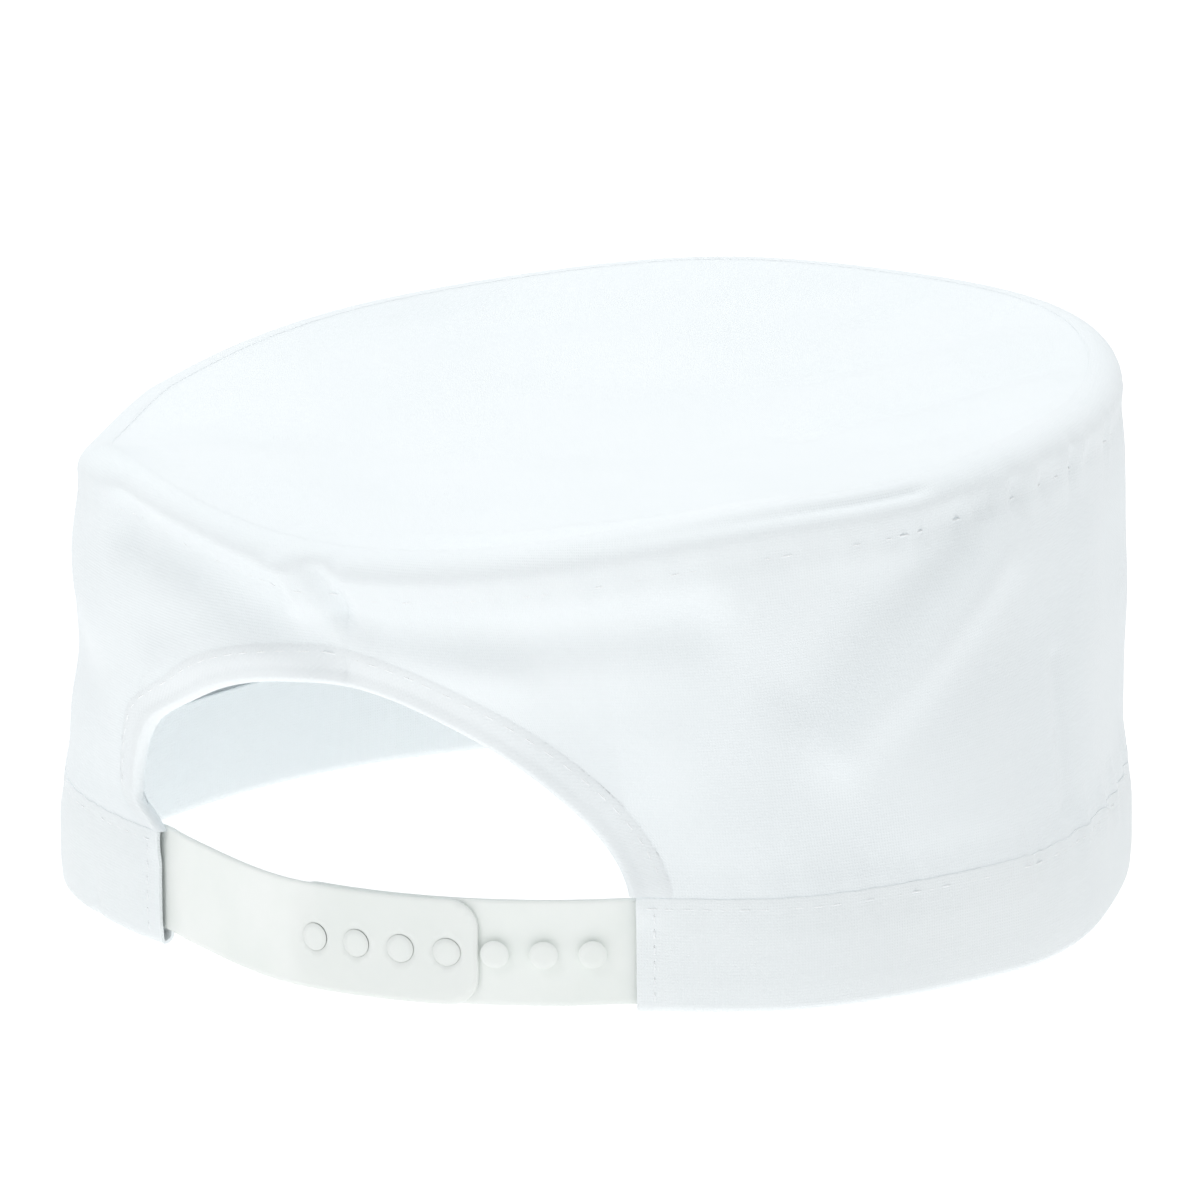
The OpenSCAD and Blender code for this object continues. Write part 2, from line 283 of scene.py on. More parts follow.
# Folds of the side wall, as paths of (angle, height). A negative last number is a valley.
WALL_FOLDS = [
    ([(-1, 70), (-13, 63), (-22, 54), (-32, 44)], 6, 2.1),
    ([(-8, 74), (-24, 66), (-36, 54)], 7, -1.6),
    ([(7, 48), (5, 25)], 1.6, -0.8),
    ([(-50, 62), (-62, 50), (-58, 34)], 8, -0.9),
    ([(-128, 74), (-112, 71), (-101, 66), (-93, 61)], 6, -3.5),
    ([(-120, 50), (-108, 55), (-97, 59)], 5, 1.2),
    ([(-70, 58), (-82, 60), (-90, 60)], 4, 0.8),
    ([(-92.5, 73), (-90, 67)], 2.8, -2.6),
    ([(-98, 73), (-96.5, 67)], 2.4, 1.2),
    ([(-90, 79), (-90, 56)], 0.9, -0.6),
    ([(-85, 65), (-68, 65), (-48, 67)], 5, -1.8),
    ([(-168, 41), (-140, 42)], 8, -1.3),
    ([(-150, 62), (-138, 52)], 7, 0.9),
    ([(55, 62), (66, 40)], 8, 1.0),
    ([(80, 66), (98, 52), (104, 38)], 9, -1.2),
    ([(120, 40), (136, 58)], 8, 1.2),
    ([(160, 70), (172, 52)], 8, -1.0),
]

# Folds of the crown, as paths of (x, y) measured from the cap's widest line
CROWN_FOLDS = [
    ([(14, 60), (32, 106)], 4.0, -0.9),
    ([(26, 62), (42, 98)], 4.0, 0.6),
    ([(30, 30), (54, 80)], 4.5, -1.0),
    ([(44, 34), (62, 74)], 4.0, 0.6),
    ([(50, 20), (66, 52)], 4.0, -0.7),
    ([(8, 96), (14, 118)], 4.0, -0.8),
    ([(-60, 20), (-30, 60)], 12, 0.7),
    ([(-58, -24), (-20, -50)], 10, 0.8),
    ([(-10, -10), (30, 20)], 16, -0.8),
]


def rim_crease(t):
    """Long crease along the soft roll, which deepens from the back and ends sharply on the right."""
    return smooth((off_angle(t, -90) - 20) / 45) * smooth((79 - off_angle(t, -90)) / 5)


def seam_pucker(t):
    """Small puckers along the seam of wall and headband, strongest on the wearer's right."""
    return (0.12 + 0.2 * hump(t, 8, 22)) * pucker(t, 11, 60, 130)


# Places where the cap's outline is pushed out of its plain ovals: middle angle, half width in
# degrees, and how far at the headband and at the rim
OUTLINE_SLACK = [(-42, 13, 3.2, 0.0), (2, 12, 3.0, -0.6), (31, 15, -0.9, -1.3), (-150, 16, 0.8, 0.4)]


def outline_slack(t, s):
    """How far the outline is pushed out at angle t and height s."""
    up = smooth((s - 4) / 52)
    return sum(mix(low, high, up) * hump(t, middle, width)
               for middle, width, low, high in OUTLINE_SLACK)


def wall_folds(t, s, rim):
    """Relief of the wall's folds, which fade out at the headband and before the crown seam."""
    total = np.zeros(np.shape(s))
    for path, width, height in WALL_FOLDS:
        around = np.mean([angle for angle, _ in path])
        turned = off_angle(t, around) + around
        flat = np.stack([turned * MM_PER_DEGREE, s], -1)
        line = np.array(path, float) * [MM_PER_DEGREE, 1]
        total += height * bell(path_distance(flat, line), width)
    return total * smooth((s - BAND_H) / 6) * smooth((rim + 3 - s) / 4)


def wall_relief(t, s, points):
    """How far the wall's cloth stands out from its plain shape."""
    rim = rim_height(t)
    above_band = s - WALL_START
    above_stitches = s - (rim - TOPSTITCH_DROP)
    right = hump(t, 0, 40)
    free = smooth(above_band / 9) * smooth((rim - 6 - s) / 9)
    total = free * ripples(points, WALL_RIPPLES) + wall_folds(t, s, rim)
    # The wall stands on the headband and puckers at its seam
    total += 0.42 * (1 - smooth(above_band / 5))
    total += seam_pucker(t) * bell(above_band, 5)
    # The topstitch pulls the cloth in and gathers it, mostly on the wearer's right
    total -= (0.06 + 0.2 * right) * bell(above_stitches, 1.6)
    total += (0.06 + 0.3 * right) * pucker(t, 12, 50, 130) * bell(above_stitches - 1, 4)
    total += 0.4 * bell(above_stitches - 6, 3.5)
    total -= 1.1 * rim_crease(t) * bell(s - rim + 0.8, 1.3)
    return total


def arch_bulge(t, s):
    """Degrees by which the cloth beside the left foot of the arch is pulled round."""
    pulled, middle, reach = -4.9, -122, 16
    near = np.clip(np.abs(off_angle(t, middle)) / reach, 0, 1)
    height = smooth((s - BAND_H) / 5.5) * (1 - smooth((s - 40) / 11))
    return pulled * np.cos(near * np.pi / 2) ** 2 * height


def cloth_point(t, s, depth, out=0.0):
    """Points of the side wall at angles t and heights s, which run on over the soft roll.

    depth counts inward from the outline, and out moves the points outward from there."""
    t, s, depth = np.broadcast_arrays(np.asarray(t, float), np.asarray(s, float), depth)
    t = t + arch_bulge(t, s)
    centre_z = rim_height(t) - RIM_R
    turn = np.clip((s - centre_z) / RIM_R, 0, roll_end(t))
    past_seam = np.clip(s - centre_z - RIM_R * roll_end(t), 0, None)
    wall_z = np.minimum(s, centre_z)
    lean = np.clip((wall_z - WALL_START) / (centre_z - WALL_START), 0, 1)
    radius = RIM_R - (depth - WALL_IN)
    size = mix(BAND_OVAL, RIM_OVAL, lean[..., None])
    plan, outward = oval(size, t, ROLL_IN - radius * np.cos(turn))
    z = wall_z + radius * np.sin(turn) - past_seam
    points = np.concatenate([plan + [0, WIDEST_Y], z[..., None]], -1)
    direction = np.concatenate([outward * np.cos(turn)[..., None], np.sin(turn)[..., None]], -1)
    stand = wall_relief(t, s, points) + out
    points = points + direction * stand[..., None]
    points[..., :2] += outward * outline_slack(t, s)[..., None]
    return points, direction


# --- Meshes ------------------------------------------------------------------------------------

def finish_mesh(name, vertices, faces, corner_uv=None):
    """Object from vertices in millimetres, with its faces turned outward and shaded smooth."""
    mesh = bpy.data.meshes.new(name)
    mesh.from_pydata((np.asarray(vertices) * MM).tolist(), [], faces)
    if corner_uv is not None:
        layer = mesh.uv_layers.new(name="cloth")
        layer.data.foreach_set("uv", (np.asarray(corner_uv, np.float32) * MM).ravel())
    shape = bmesh.new()
    shape.from_mesh(mesh)
    bmesh.ops.recalc_face_normals(shape, faces=shape.faces)
    shape.to_mesh(mesh)
    shape.free()
    mesh.shade_smooth()
    mesh.set_sharp_from_angle(angle=math.radians(50))
    obj = bpy.data.objects.new(name, mesh)
    bpy.context.scene.collection.objects.link(obj)
    return obj


def skin(name, sections, uv, loop=False):
    """One skin over a run of closed cross-sections. A loop joins the last one to the first."""
    n, m = sections.shape[:2]
    i, j = np.meshgrid(np.arange(n if loop else n - 1), np.arange(m), indexing="ij")
    i2, j2 = (i + 1) % n, (j + 1) % m
    quads = np.stack([i * m + j, i * m + j2, i2 * m + j2, i2 * m + j], -1).reshape(-1, 4)
    corner_uv = np.stack([uv[i, j], uv[i, j2], uv[i + 1, j2], uv[i + 1, j]], 2).reshape(-1, 2)
    faces = quads.tolist()
    if not loop:
        faces += [list(range(m)), list(range((n - 1) * m, n * m))]
        corner_uv = np.concatenate([corner_uv, uv[0], uv[n - 1]])
    return finish_mesh(name, sections.reshape(-1, 3), faces, corner_uv)


def two_faced(outer, inner):
    """Closed cross-sections of a sheet from its outer and its inner face."""
    return np.concatenate([outer, inner[:, ::-1]], axis=1)


def tube_group(name, lines, radii, sides=6):
    """Many short round threads as one mesh. lines is (threads, rings, 3), radii is per ring."""
    count, rings = lines.shape[:2]
    along = np.gradient(lines, axis=1)
    along /= np.linalg.norm(along, axis=-1, keepdims=True)
    across = np.cross(along, [0, 0, 1.0])
    across[np.linalg.norm(across, axis=-1) < 0.2] = [1, 0, 0]
    across /= np.linalg.norm(across, axis=-1, keepdims=True)
    up = np.cross(across, along)
    angle = np.arange(sides) * 2 * np.pi / sides
    ring = np.cos(angle)[:, None] * across[:, :, None] + np.sin(angle)[:, None] * up[:, :, None]
    vertices = lines[:, :, None] + ring * np.asarray(radii)[None, :, None, None]
    k, i, j = np.meshgrid(np.arange(count), np.arange(rings - 1), np.arange(sides), indexing="ij")
    j2 = (j + 1) % sides
    base = (k * rings + i) * sides
    quads = np.stack([base + j, base + j2, base + sides + j2, base + sides + j], -1).reshape(-1, 4)
    faces = quads.tolist()
    for k in range(count):
        first = k * rings * sides
        faces.append(list(range(first, first + sides)))
        faces.append(list(range(first + (rings - 1) * sides, first + rings * sides)))
    return finish_mesh(name, vertices.reshape(-1, 3), faces)


THREAD_R = 0.16
STITCH_SHARE = 0.74                  # of the pitch that shows on the cloth


def stitches(name, points, outward):
    """Row of lockstitches between neighbouring points, which dive into the cloth at both ends."""
    steps = np.array([0, 0.12, 0.3, 0.5, 0.7, 0.88, 1])
    lift = np.array([-0.35, -0.08, -0.03, -0.01, -0.03, -0.08, -0.35])
    radii = THREAD_R * np.array([0.6, 0.9, 1, 1, 1, 0.9, 0.6])
    start, end = points[:-1, None], points[1:, None]
    lines = mix(start, end, steps[:, None] * STITCH_SHARE) + outward[:-1, None] * lift[:, None]
    return tube_group(name, lines, radii)


# --- Materials ---------------------------------------------------------------------------------

def new_material(name):
    made = bpy.data.materials.new(name)
    made.use_nodes = True
    return made, made.node_tree, made.node_tree.nodes["Principled BSDF"]


def add_node(tree, kind, inputs=None, **settings):
    node = tree.nodes.new(kind)
    for key, value in settings.items():
        setattr(node, key, value)
    for key, value in (inputs or {}).items():
        if isinstance(value, bpy.types.NodeSocket):
            tree.links.new(value, node.inputs[key])
        else:
            node.inputs[key].default_value = value
    return node


def noise(tree, place, per_metre, detail=3.0):
    return add_node(tree, "ShaderNodeTexNoise", {"Vector": place, "Scale": per_metre,
                                                 "Detail": detail}).outputs["Fac"]


def tinted(tree, share, dark, light):
    """Colour that runs from dark to light as share goes from 0.3 to 0.7."""
    ramp = add_node(tree, "ShaderNodeValToRGB", {"Fac": share})
    ramp.color_ramp.elements[0].position = 0.3
    ramp.color_ramp.elements[0].color = (*dark, 1)
    ramp.color_ramp.elements[1].position = 0.7
    ramp.color_ramp.elements[1].color = (*light, 1)
    return ramp.outputs["Color"]


def ranged(tree, value, low, high):
    return add_node(tree, "ShaderNodeMapRange", {"Value": value, "To Min": low,
                                                 "To Max": high}).outputs["Result"]


def yarn_rows(tree, place, direction, pitch):
    """Rows of yarn a pitch apart, in millimetres, across direction X, Y or DIAGONAL."""
    scale = 2 * math.pi / (20 * pitch * MM)
    return add_node(tree, "ShaderNodeTexWave", {"Vector": place, "Scale": scale, "Distortion": 0.0},
                    wave_type="BANDS", bands_direction=direction).outputs["Fac"]


def woven(name, light, dark, pitch, twill=False, sheen=0.1, see_through=0.12, depth=0.1):
    """Woven cloth: warp and weft, slubs in the yarn, and a slightly uneven white."""
    made, tree, shader = new_material(name)
    coords = add_node(tree, "ShaderNodeTexCoord")
    flat, solid = coords.outputs["UV"], coords.outputs["Object"]
    warp = yarn_rows(tree, flat, "X", pitch)
    weft = yarn_rows(tree, flat, "DIAGONAL" if twill else "Y", pitch)
    weave = add_node(tree, "ShaderNodeMath", {0: warp, 1: weft}, operation="MULTIPLY").outputs[0]
    slubs = noise(tree, solid, 700)
    height = add_node(tree, "ShaderNodeMath", {0: weave, 1: slubs}, operation="ADD").outputs[0]
    bump = add_node(tree, "ShaderNodeBump", {"Strength": 0.38, "Distance": depth * MM,
                                             "Height": height})
    tree.links.new(bump.outputs["Normal"], shader.inputs["Normal"])
    patches = noise(tree, solid, 28, 4.0)
    shade = add_node(tree, "ShaderNodeMath", {0: patches, 1: ranged(tree, weave, -0.12, 0.12)},
                     operation="ADD").outputs[0]
    tree.links.new(tinted(tree, shade, dark, light), shader.inputs["Base Color"])
    tree.links.new(ranged(tree, slubs, 0.78, 0.97), shader.inputs["Roughness"])
    shader.inputs["Sheen Weight"].default_value = sheen
    shader.inputs["Sheen Roughness"].default_value = 0.6
    shader.inputs["Specular IOR Level"].default_value = 0.25
    shader.inputs["Subsurface Weight"].default_value = see_through
    shader.inputs["Subsurface Radius"].default_value = (1, 1, 1)
    shader.inputs["Subsurface Scale"].default_value = 2.2 * MM
    return made


def moulded_plastic():
    """Thin milky strap plastic: a satin face with the fine grain of its mould and light scuffs."""
    made, tree, shader = new_material("strap_plastic")
    solid = add_node(tree, "ShaderNodeTexCoord").outputs["Object"]
    grain, cloudy = noise(tree, solid, 2400, 2.0), noise(tree, solid, 90, 4.0)
    scuffs = add_node(tree, "ShaderNodeTexNoise", {"Vector": solid, "Scale": 260.0, "Detail": 6.0,
                                                   "Distortion": 1.5}).outputs["Fac"]
    height = add_node(tree, "ShaderNodeMath", {0: grain, 1: scuffs}, operation="ADD").outputs[0]
    bump = add_node(tree, "ShaderNodeBump", {"Strength": 0.25, "Distance": 0.05 * MM,
                                             "Height": height})
    tree.links.new(bump.outputs["Normal"], shader.inputs["Normal"])
    tree.links.new(tinted(tree, cloudy, (0.85, 0.89, 0.86), (0.895, 0.925, 0.90)),
                   shader.inputs["Base Color"])
    tree.links.new(ranged(tree, scuffs, 0.3, 0.52), shader.inputs["Roughness"])
    shader.inputs["IOR"].default_value = 1.46
    shader.inputs["Subsurface Weight"].default_value = 0.22
    shader.inputs["Subsurface Radius"].default_value = (1, 1, 0.95)
    shader.inputs["Subsurface Scale"].default_value = 1.6 * MM
    return made


def spun_thread():
    """Polyester thread with its twist."""
    made, tree, shader = new_material("thread")
    solid = add_node(tree, "ShaderNodeTexCoord").outputs["Object"]
    twist = yarn_rows(tree, solid, "DIAGONAL", 0.3)
    bump = add_node(tree, "ShaderNodeBump", {"Strength": 0.6, "Distance": 0.05 * MM,
                                             "Height": twist})
    tree.links.new(bump.outputs["Normal"], shader.inputs["Normal"])
    tree.links.new(tinted(tree, noise(tree, solid, 150), (0.9, 0.925, 0.94), (0.93, 0.955, 0.965)),
                   shader.inputs["Base Color"])
    tree.links.new(ranged(tree, twist, 0.5, 0.7), shader.inputs["Roughness"])
    shader.inputs["Sheen Weight"].default_value = 0.3
    return made


COTTON = woven("cotton_twill", (0.905, 0.948, 0.967), (0.88, 0.927, 0.948), 0.5)
BAND_COTTON = woven("band_cotton", (0.905, 0.945, 0.958), (0.88, 0.924, 0.94), 0.5)
TAPE = woven("bias_tape", (0.91, 0.948, 0.965), (0.887, 0.93, 0.95), 0.42, twill=True)
CANVAS = woven("band_canvas", (0.8, 0.81, 0.8), (0.74, 0.75, 0.74), 0.8, see_through=0.1, depth=0.2)
SATIN = woven("label_satin", (0.9, 0.91, 0.92), (0.87, 0.88, 0.9), 0.25, sheen=0.5, depth=0.04)
PLASTIC = moulded_plastic()
THREAD = spun_thread()


def dress(obj, material, body, slot, *replaced):
    """Gives a piece its material and its body, and hides the CAD nodes it stands for. The slot argument is
    not used.
    """
    obj.data.materials.append(material)
    if body:
        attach(obj, body)
    if replaced:
        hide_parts(*replaced)
    return obj


# --- Cloth pieces ------------------------------------------------------------------------------

RIGHT_END = float(-np.degrees(np.arccos(GAP_HALF_W / BAND_OVAL[0])))
LEFT_END = 180 - RIGHT_END
WALL_FOOT = 17
SEAM_ALLOWANCE = 4


def wall_columns():
    """Angle at the foot, angle at the rim and foot height of each upright line of the wall."""
    front, run = even_angles(RIGHT_END + 0.6, LEFT_END - 0.6, 360)
    foot = np.full(len(front), WALL_FOOT, float)
    a = np.linspace(-90, 90, 92)[1:-1]
    edge_t, edge_z = arch(a, 0)
    top = np.linspace(LEFT_END - 0.6, 360 + RIGHT_END + 0.6, 92)[1:-1]
    step = run[1] - run[0]
    return (np.concatenate([front, edge_t + 360]), np.concatenate([front, top]),
            np.concatenate([foot, edge_z]), np.arange(len(front) + len(a) + 1) * step)


def make_side_wall():
    """Wall strip from inside the headband or the arch's edge up over the roll to the crown seam."""
    foot_t, top_t, foot_s, run = wall_columns()
    centre_z = rim_height(top_t) - RIM_R
    up = np.linspace(0, 1, 50)
    over = np.linspace(0, 1, 16)[1:] * (roll_end(top_t) * RIM_R)[:, None]
    past = over[:, -1:] + [1.5, SEAM_ALLOWANCE]
    s = np.concatenate([mix(foot_s[:, None], centre_z[:, None], up),
                        centre_z[:, None] + np.concatenate([over, past], 1)], 1)
    share = np.concatenate([up, np.ones(s.shape[1] - len(up))])
    t = mix(foot_t[:, None], top_t[:, None], smooth(share) * 0.5 + share * 0.5)
    outer, _ = cloth_point(t, s, WALL_IN)
    inner, _ = cloth_point(t, s, WALL_IN + CLOTH_T)
    flat = np.stack(np.broadcast_arrays(run[:-1, None], s), -1)
    closing = flat[:1].copy()
    closing[..., 0] = run[-1]
    uv = np.concatenate([two_faced(flat, flat), two_faced(closing, closing)])
    return skin("side_wall_cloth", two_faced(outer, inner), uv, loop=True)


def crown_point(r, t, depth):
    """Points of the crown cloth at share r of the way from its middle to the seam."""
    seam_z = rim_height(t) - RIM_R + RIM_R * np.sin(roll_end(t)) - SEAM_DIP
    plan, _ = oval(RIM_OVAL, t, ROLL_IN - RIM_R * np.cos(roll_end(t)) + depth - outline_slack(t, 90))
    plan = plan * r[..., None]
    z = mix(CROWN_MID_Z, seam_z, r ** 3) - CROWN_DISH * (1 - r * r) - depth
    z -= EDGE_DROP * (1 - groove(t) * r ** 3) * (1 - np.exp(-(1 - r) / EDGE_SHARE))
    points = np.concatenate([plan + [0, WIDEST_Y], z[..., None]], -1)
    edge = smooth((1 - r) / 0.1)
    relief = edge * (folds_relief(plan, CROWN_FOLDS) + ripples(points * [1, 1, 0], CROWN_RIPPLES))
    relief += 0.9 * groove(t) * bell(r - 0.88, 0.05)
    relief += 0.12 * edge * pucker(t, 23, 50, 120) * bell(r - 0.93, 0.03)
    points[..., 2] += relief
    return points


def disc_grid(steps):
    """Square grid spread over a disc: shares of the radius and angles in degrees."""
    u, v = np.meshgrid(np.linspace(-1, 1, steps), np.linspace(-1, 1, steps), indexing="ij")
    r = np.maximum(np.abs(u), np.abs(v))
    wide = np.abs(u) >= np.abs(v)
    safe_u, safe_v = np.where(u == 0, 1, u), np.where(v == 0, 1, v)
    t = np.where(wide, 45 * v / safe_u + np.where(u < 0, 180, 0),
                 90 - 45 * u / safe_v + np.where(v < 0, 180, 0))
    return r, np.where(r == 0, 0, t)


def crown_edge_rings(t, depth):
    """Rings that take the crown's edge under the roll and down behind the wall."""
    under = WALL_IN + CLOTH_T + 0.9 + depth
    centre_z = rim_height(t) - RIM_R
    heights = [centre_z + share * roll_end(t) * RIM_R for share in (1, 0.8, 0.6, 0.4, 0.2, 0)]
    heights += [centre_z - drop for drop in (1, 2, 3, 4, CROWN_ALLOWANCE - RIM_R)]
    return np.array([cloth_point(t, s, under)[0] for s in heights])


def disc_border(steps):
    """Places of the disc grid's outer points, in order around it."""
    last = steps - 1
    side = np.arange(last)
    return np.concatenate([side * steps, last * steps + side, (last - side) * steps + last, last - side])


def ring_faces(a, b):
    """Quads between two rings of points."""
    return np.stack([a, np.roll(a, -1), np.roll(b, -1), b], -1).tolist()


def make_crown(steps=121):
    """Crown cloth: an outer and an inner face, each a disc with its edge turned under."""
    r, t = disc_grid(steps)
    border = disc_border(steps)
    i, j = np.meshgrid(np.arange(steps - 1), np.arange(steps - 1), indexing="ij")
    quads = (i * steps + j).reshape(-1, 1) + [0, steps, steps + 1, 1]
    faces, parts, edges, first = [], [], [], 0
    for depth in (0.0, CROWN_T):
        top = crown_point(r, t, depth).reshape(-1, 3)
        rings = crown_edge_rings(t.ravel()[border], depth)
        faces += (quads + first).tolist()
        above = border + first
        for k in range(len(rings)):
            below = first + len(top) + k * len(border) + np.arange(len(border))
            faces += ring_faces(above, below)
            above = below
        parts += [top, rings.reshape(-1, 3)]
        edges.append(above)
        first += len(top) + len(rings) * len(border)
    faces += ring_faces(*edges)
    vertices = np.concatenate(parts)
    corner_uv = vertices[np.array(faces).ravel()][:, :2]
    return finish_mesh("crown_cloth", vertices, faces, corner_uv)


def band_relief(t, z, points):
    """How far the headband's outer leaf stands out from its plain outline."""
    below_top = BAND_H - z
    total = ripples(points, BAND_RIPPLES) * smooth(below_top / 8)
    total += seam_pucker(t) * bell(below_top, 5)
    total -= 0.15 * bell(below_top - BAND_STITCH_DROP, 1.0) + 0.2 * (1 - smooth(below_top / 1.2))
    total += 0.25 * smooth((below_top - 3) / 4) * smooth((z - 1) / 4)
    crease = off_angle(t, -136) * MM_PER_DEGREE
    total -= 0.8 * bell(crease, 1.6) * smooth((11 - z) / 8)
    return total + outline_slack(t, z)


END_PINCH = 1.05                     # how far the outer leaf closes onto the strap at its ends
END_PINCH_REACH = 7


def band_point(t, along, depth_share):
    """Point of the folded headband: along is 0 at the top of the outer leaf, 0.5 at the fold.

    depth_share is 0 on the cloth's outer face and 1 on its inner face."""
    fold_r = BAND_T / 2
    straight = BAND_H - fold_r
    half_turn = math.pi * fold_r
    total = 2 * straight + half_turn
    run = along * total
    turn = np.clip((run - straight) / fold_r, 0, math.pi)
    radius = fold_r - LEAF_T * depth_share
    z = np.where(run < straight, BAND_H - run, np.where(run > straight + half_turn,
                 fold_r + run - straight - half_turn, fold_r - radius * np.sin(turn)))
    depth = fold_r - radius * np.cos(turn)
    from_end = np.minimum(np.abs(off_angle(t, RIGHT_END)), np.abs(off_angle(t, LEFT_END)))
    pinch = (1 - smooth(from_end * MM_PER_DEGREE / END_PINCH_REACH)) * (1 - smooth((z - 13) / 5))
    depth = depth + END_PINCH * pinch * np.clip(np.cos(turn), 0, 1)
    plan, outward = oval(BAND_OVAL, t, depth)
    points = np.concatenate([plan + [0, WIDEST_Y], z[..., None]], -1)
    relief = band_relief(t, z, points) * (1 + np.cos(turn)) / 2
    points[..., :2] += outward * relief[..., None]
    return points, np.concatenate([outward, np.zeros(outward.shape[:-1] + (1,))], -1)


def make_headband():
    """Headband cloth, folded under at its lower edge."""
    t, run = even_angles(RIGHT_END, LEFT_END, 330)
    leaf = np.linspace(0, 0.43, 16)
    along = np.concatenate([leaf, np.linspace(0.44, 0.56, 10), leaf + 0.57])
    grid_t, grid_a = np.meshgrid(t, along, indexing="ij")
    outer, _ = band_point(grid_t, grid_a, 0)
    inner, _ = band_point(grid_t, grid_a, 1)
    flat = np.stack(np.broadcast_arrays(run[:, None], along * BAND_CUT_W), -1)
    return skin("headband_cloth", two_faced(outer, inner), two_faced(flat, flat))


def make_arch_tape():
    """Bias tape folded over the raw edge of the arch."""
    a = np.linspace(-90, 90, 150)
    back_depth = WALL_IN + CLOTH_T + 0.15 + LEAF_T
    half = back_depth / 2
    turns = np.radians(np.linspace(0, 180, 9))
    lanes = [TAPE_W * share for share in (1, 0.97, 0.8, 0.6, 0.4, 0.2)]
    outer = [(w, TAPE_IN if w < 0.9 * TAPE_W else WALL_IN) for w in lanes]
    outer += [(-half * math.sin(x), half - half * math.cos(x)) for x in turns]
    outer += [(w, back_depth) for w in reversed(lanes)]
    thin = half - LEAF_T
    inner = [(w, WALL_IN + 0.1) for w in lanes]
    inner += [(-thin * math.sin(x), half - thin * math.cos(x)) for x in turns]
    inner += [(w, back_depth - LEAF_T) for w in reversed(lanes)]

    def face(path):
        rows = []
        for out, depth in path:
            t, s = arch(a, out)
            rows.append(cloth_point(t, s, depth)[0])
        return np.stack(rows, 1)

    run = a / 180 * TAPE_RUN
    widths = np.cumsum([0] + [math.dist(p, q) for p, q in zip(outer, outer[1:])])
    flat = np.stack(np.meshgrid(run, widths, indexing="ij"), -1)
    return skin("arch_tape", two_faced(face(outer), face(inner)), two_faced(flat, flat))


def make_seam_turnings():
    """The two ends of the wall strip, pressed open behind the back seam, as one folded strip."""
    foot, head = ARCH_TOP + TAPE_W + 0.6, rim_height(-90) - CROWN_ALLOWANCE - 1
    x = np.linspace(-7, 7, 21)
    z = np.linspace(foot, head, 10)
    grid_x, grid_z = np.meshgrid(x, z, indexing="ij")
    depth = WALL_IN + CLOTH_T + 0.35
    press = 0.35 * np.exp(-(grid_x / 1.2) ** 2)
    outer, _ = cloth_point(back_angle(grid_x, grid_z), grid_z, depth, out=press)
    inner, _ = cloth_point(back_angle(grid_x, grid_z), grid_z, depth + LEAF_T, out=press)
    flat = np.stack([grid_x, grid_z], -1)
    return skin("back_seam_turnings", two_faced(outer, inner), two_faced(flat, flat))


def make_label():
    """Blank satin label, sewn on by its upper edge and curling a little at the lower one."""
    t = np.linspace(84, 96, 25)
    z = np.linspace(LABEL_LOW[2], LABEL_HIGH[2], 13)
    grid_t, grid_z = np.meshgrid(t, z, indexing="ij")
    curl = 0.9 * smooth((LABEL_HIGH[2] - grid_z) / 14) ** 2
    faces = []
    for depth in (BAND_T + 0.3, BAND_T + 0.45):
        plan, _ = oval(BAND_OVAL, grid_t, depth + curl)
        faces.append(np.concatenate([plan + [0, WIDEST_Y], grid_z[..., None]], -1))
    flat = np.stack([grid_t * 1.9, grid_z], -1)
    return skin("care_label_tape", two_faced(*faces), two_faced(flat, flat))


# --- Snap straps -------------------------------------------------------------------------------

def strap_layout():
    """Bend line, centre and radii of the two straps, which share one centre."""
    (root,), _ = oval(BAND_OVAL, np.array([RIGHT_END]), CORE_MIDDLE)
    (beyond,), _ = oval(BAND_OVAL, np.array([RIGHT_END - 1]), CORE_MIDDLE)
    hinge = root + HINGE_OUT * (beyond - root) / np.linalg.norm(beyond - root)
    outer_r = (hinge[0] ** 2 + STRAP_RISE ** 2) / (2 * STRAP_RISE)
    centre_x = STRAP_STEP * (2 * outer_r - STRAP_STEP) / (4 * hinge[0])
    centre_y = hinge[1] + math.sqrt(outer_r ** 2 - (hinge[0] + centre_x) ** 2)
    return hinge, np.array([centre_x, centre_y]), outer_r


HINGE, STRAP_CENTRE, OUTER_R = strap_layout()
INNER_R = OUTER_R - STRAP_STEP


def peg_angle(i):
    """Angle of the i-th peg about the straps' centre."""
    return (FIRST_PEG + i * PEG_PITCH) / OUTER_R


def strap_line(side, r, end_angle):
    """Middle line of a strap from inside the headband to its free tip, as points in plan.

    side is -1 for the left strap and 1 for the right one."""
    inside = np.linspace(TAB_LEN / MM_PER_DEGREE, -0.5, 40)
    t = RIGHT_END + inside
    tab, _ = oval(BAND_OVAL, t, CORE_MIDDLE)
    tab[:, 0] *= side
    start = math.atan2(side * HINGE[0] - STRAP_CENTRE[0], STRAP_CENTRE[1] - HINGE[1])
    a = np.linspace(start, end_angle, 300)[4:]
    arc = STRAP_CENTRE + r * np.stack([np.sin(a), -np.cos(a)], -1)
    line = np.concatenate([tab, arc])
    run = np.concatenate([[0], np.cumsum(np.linalg.norm(np.diff(line, axis=0), axis=1))])
    even = np.arange(0, run[-1], LINE_STEP)
    line = np.stack([np.interp(even, run, line[:, k]) for k in (0, 1)], -1)
    reach = 14
    before, after = 2 * line[0] - line[reach:0:-1], 2 * line[-1] - line[-2:-reach - 2:-1]
    padded = np.concatenate([before, line, after])
    kernel = np.hanning(2 * reach + 3)[1:-1]
    kernel /= kernel.sum()
    return np.stack([np.convolve(padded[:, k], kernel, "valid") for k in (0, 1)], -1)


